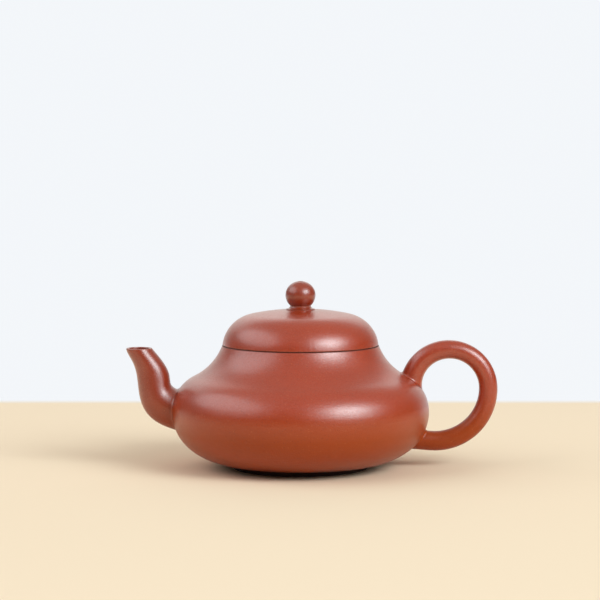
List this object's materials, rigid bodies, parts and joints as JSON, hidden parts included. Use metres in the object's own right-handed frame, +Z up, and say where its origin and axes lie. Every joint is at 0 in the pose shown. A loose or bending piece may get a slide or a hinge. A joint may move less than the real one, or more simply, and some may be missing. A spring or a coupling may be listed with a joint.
{
  "type": "teapot",
  "caption": "Squat unglazed red clay teapot with a short curved spout, a ring handle, a pierced strainer inside and a flush domed lid with a ball knob that lifts off.",
  "frame": {"origin": "centre of the foot ring, in the plane of the table", "axes": "+Z up along the pot's axis, +X towards the handle, -X towards the spout"},
  "size_m": [0.13, 0.09, 0.0653],
  "materials": {
    "red_clay": "unglazed fired clay, fine sandy grain, satin"
  },
  "bodies": {
    "pot": {"base_disc": "red_clay", "belly_wall": "red_clay", "shoulder": "red_clay", "mouth_ring": "red_clay", "spout": "red_clay", "strainer": "red_clay", "handle": "red_clay"},
    "lid": {"lid_dome": "red_clay", "lid_plate": "red_clay", "lid_collar": "red_clay", "knob_stem": "red_clay", "knob_ball": "red_clay"}
  },
  "joints": [
    {"name": "lid_lift", "type": "slide", "parent": "pot", "child": "lid", "axis": [0, 0, 1], "range_m": [0, 0.05]}
  ]
}
